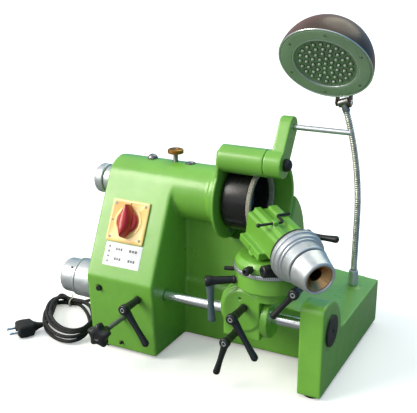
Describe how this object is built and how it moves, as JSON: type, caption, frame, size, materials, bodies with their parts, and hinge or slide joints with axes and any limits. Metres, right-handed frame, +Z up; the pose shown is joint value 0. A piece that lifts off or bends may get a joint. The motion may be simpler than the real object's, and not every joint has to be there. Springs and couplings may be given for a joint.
{
  "type": "drill bit sharpener",
  "caption": "Bench tool and drill grinder: green casting, guarded cup wheel, chrome guide bar, swivelling collet workhead, support arm and gooseneck lamp.",
  "frame": {"origin": "centre of the casting's footprint, on the bench plane under the rubber feet", "axes": "+X right along the guide bar, +Y to the rear, +Z up"},
  "size_m": [0.5867, 0.382, 0.5412],
  "materials": {
    "green_paint": "gloss",
    "aluminium": "satin",
    "chrome": "polished",
    "steel": "satin",
    "black_plastic": "satin",
    "grey_plastic": "satin",
    "yellow_plastic": "satin",
    "red_plastic": "gloss",
    "rubber": "matt",
    "brass": "satin",
    "bronze": "satin",
    "wheel_body": "matt",
    "abrasive": "rough",
    "cast_iron": "painted grey",
    "lamp_enamel": "gloss",
    "lamp_grey": "satin",
    "lens": "prismatic"
  },
  "bodies": {
    "base": {"base_casting": "green_paint", "rear_cover": "green_paint", "cover_screws": "steel", "rubber_feet": "rubber", "wheel_guard": "green_paint", "switch_plate": "yellow_plastic", "switch_body": "black_plastic", "bar_end_cap": "black_plastic", "feed_sleeve": "aluminium", "spindle_feed_collar": "aluminium", "housing_plugs": "steel", "socket_plugs": "black_plastic", "motor_housing": "cast_iron", "drive_belt": "rubber", "power_cord": "rubber", "power_plug": "black_plastic"},
    "switch": {"switch_knob": "red_plastic"},
    "bar_feed": {"feed_dial": "aluminium"},
    "bar": {"guide_bar": "chrome"},
    "spindle_feed": {"spindle_feed_knob": "aluminium"},
    "quill": {"quill_sleeve": "steel", "bearing_outer_rings": "steel"},
    "spindle": {"bearing_inner_sets": "steel", "spindle_shaft": "steel", "spindle_pulley": "aluminium", "wheel_hub": "steel", "grinding_wheel": "wheel_body", "abrasive_ring": "abrasive", "arbor_nut": "black_plastic"},
    "motor_rotor": {"motor_shaft": "steel", "motor_pulley": "aluminium"},
    "quill_lock": {"quill_lock_screw": "brass"},
    "bar_clamp": {"bar_clamp_lever": "black_plastic"},
    "star": {"star_knob": "black_plastic"},
    "carriage_slider": {"carriage_collar": "green_paint"},
    "carriage": {"carriage_block": "green_paint", "graduated_ring": "aluminium"},
    "upper_lever": {"carriage_lever_upper": "black_plastic"},
    "lower_lever": {"carriage_lever_lower": "black_plastic"},
    "swivel_lever": {"swivel_clamp_lever": "grey_plastic"},
    "post_lever": {"post_clamp_lever": "black_plastic"},
    "index_pin": {"swivel_index_pin": "black_plastic"},
    "swivel": {"swivel_base": "green_paint"},
    "swivel_lock": {"swivel_lock_knob": "black_plastic"},
    "tilt_lock": {"tilt_clamp_knob": "black_plastic"},
    "head": {"head_body": "green_paint"},
    "latch": {"index_latch": "black_plastic"},
    "head_lever": {"head_lock_lever": "black_plastic"},
    "collet_unit": {"index_plate": "black_plastic", "graduated_dial": "aluminium", "collet_spindle": "steel", "collet_nose": "aluminium", "collet": "bronze"},
    "arm": {"dresser_arm": "green_paint"},
    "arm_pivot_screw": {"arm_screw": "black_plastic"},
    "rod": {"support_rod": "chrome"},
    "lamp_neck": {"gooseneck": "chrome"},
    "lamp": {"lamp_shell": "lamp_enamel", "lamp_face_ring": "lamp_grey", "lamp_lens": "lens"}
  },
  "joints": [
    {"name": "switch_turn", "type": "hinge", "parent": "base", "child": "switch", "pos_m": [-0.143, -0.11914, 0.217], "axis": [0, -0.9016, 0.4326], "range_deg": [0, 90]},
    {"name": "bar_feed_turn", "type": "hinge", "parent": "base", "child": "bar_feed", "pos_m": [-0.2, -0.115, 0.102], "axis": [1, 0, 0], "range_deg": [-485, 485]},
    {"name": "bar_travel", "type": "slide", "parent": "base", "child": "bar", "axis": [1, 0, 0], "range_m": [-0.002, 0.002]},
    {"name": "spindle_feed_turn", "type": "hinge", "parent": "base", "child": "spindle_feed", "pos_m": [-0.2, -0.047, 0.261], "axis": [1, 0, 0], "range_deg": [-725, 725]},
    {"name": "quill_travel", "type": "slide", "parent": "base", "child": "quill", "axis": [1, 0, 0], "range_m": [-0.002, 0.002]},
    {"name": "spindle_spin", "type": "hinge", "parent": "quill", "child": "spindle", "pos_m": [0, -0.047, 0.261], "axis": [1, 0, 0], "continuous": true},
    {"name": "motor_spin", "type": "hinge", "parent": "base", "child": "motor_rotor", "pos_m": [-0.05, 0.014, 0.122], "axis": [1, 0, 0], "continuous": true},
    {"name": "quill_lock_turn", "type": "hinge", "parent": "base", "child": "quill_lock", "pos_m": [-0.096, -0.047, 0.32], "axis": [0, 0, 1], "range_deg": [0, 180]},
    {"name": "bar_clamp_turn", "type": "hinge", "parent": "base", "child": "bar_clamp", "pos_m": [-0.104, -0.16, 0.1055], "axis": [0, -1, 0], "range_deg": [-25, 60]},
    {"name": "star_knob_turn", "type": "hinge", "parent": "base", "child": "star", "pos_m": [-0.136, -0.2, 0.065], "axis": [0, -1, 0], "range_deg": [-180, 180]},
    {"name": "carriage_travel", "type": "slide", "parent": "bar", "child": "carriage_slider", "axis": [1, 0, 0], "range_m": [0, 0.014]},
    {"name": "carriage_rock", "type": "hinge", "parent": "carriage_slider", "child": "carriage", "pos_m": [0.07, -0.115, 0.102], "axis": [1, 0, 0], "range_deg": [0, 12]},
    {"name": "upper_lever_turn", "type": "hinge", "parent": "carriage", "child": "upper_lever", "pos_m": [0.074, -0.15, 0.125], "axis": [0, -1, 0], "range_deg": [0, 60]},
    {"name": "lower_lever_turn", "type": "hinge", "parent": "carriage", "child": "lower_lever", "pos_m": [0.062, -0.15, 0.082], "axis": [0, -1, 0], "range_deg": [-45, 10]},
    {"name": "swivel_lever_turn", "type": "hinge", "parent": "carriage", "child": "swivel_lever", "pos_m": [0.06104, -0.14368, 0.167], "axis": [-0.8192, -0.5736, 0], "range_deg": [-30, 30]},
    {"name": "post_lever_turn", "type": "hinge", "parent": "carriage", "child": "post_lever", "pos_m": [0.16, -0.14, 0.173], "axis": [0, -1, 0], "range_deg": [-12, 25]},
    {"name": "index_pin_pull", "type": "slide", "parent": "carriage", "child": "index_pin", "axis": [-0.9703, -0.2419, 0], "range_m": [0, 0.004]},
    {"name": "head_swivel", "type": "hinge", "parent": "carriage", "child": "swivel", "pos_m": [0.102, -0.115, 0.19], "axis": [0, 0, 1], "range_deg": [-25, 15]},
    {"name": "swivel_lock_turn", "type": "hinge", "parent": "swivel", "child": "swivel_lock", "pos_m": [0.09332, -0.16424, 0.1975], "axis": [-0.1736, -0.9848, 0], "range_deg": [-180, 180]},
    {"name": "tilt_lock_turn", "type": "hinge", "parent": "swivel", "child": "tilt_lock", "pos_m": [0.12438, -0.15989, 0.1995], "axis": [0.6428, 0.766, 0], "range_deg": [-180, 180]},
    {"name": "head_tilt", "type": "hinge", "parent": "swivel", "child": "head", "pos_m": [0.102, -0.115, 0.216], "axis": [0.6428, 0.766, 0], "range_deg": [-12, 1]},
    {"name": "latch_lift", "type": "hinge", "parent": "head", "child": "latch", "pos_m": [0.12312, -0.13272, 0.26293], "axis": [0.6428, 0.766, 0], "range_deg": [0, 50]},
    {"name": "head_lever_turn", "type": "hinge", "parent": "head", "child": "head_lever", "pos_m": [0.13892, -0.10812, 0.23616], "axis": [0.6428, 0.766, 0], "range_deg": [-30, 30]},
    {"name": "collet_spin", "type": "hinge", "parent": "head", "child": "collet_unit", "pos_m": [0.10559, -0.11801, 0.24259], "axis": [0.7544, -0.633, -0.1736], "continuous": true},
    {"name": "arm_swing", "type": "hinge", "parent": "base", "child": "arm", "pos_m": [0.095, -0.078, 0.332], "axis": [1, 0, 0], "range_deg": [-50, 110]},
    {"name": "arm_screw_turn", "type": "hinge", "parent": "base", "child": "arm_pivot_screw", "pos_m": [0.1, -0.078, 0.332], "axis": [1, 0, 0], "range_deg": [-180, 180]},
    {"name": "rod_slide", "type": "slide", "parent": "arm", "child": "rod", "axis": [1, 0, 0], "range_m": [-0.04, 0]},
    {"name": "lamp_neck_turn", "type": "hinge", "parent": "base", "child": "lamp_neck", "pos_m": [0.1688, 0.098, 0.09], "axis": [0, 0, 1], "range_deg": [-25, 25]},
    {"name": "lamp_tilt", "type": "hinge", "parent": "lamp_neck", "child": "lamp", "pos_m": [0.13503, 0.098, 0.39953], "axis": [1, 0, 0], "range_deg": [-20, 20]}
  ],
  "couplings": [
    {"joint": "bar_feed_turn", "follows": "bar_travel", "rad_per_m": 4188.8},
    {"joint": "spindle_feed_turn", "follows": "quill_travel", "rad_per_m": 6283.2},
    {"joint": "spindle_spin", "follows": "motor_spin", "ratio": 1.7798}
  ]
}
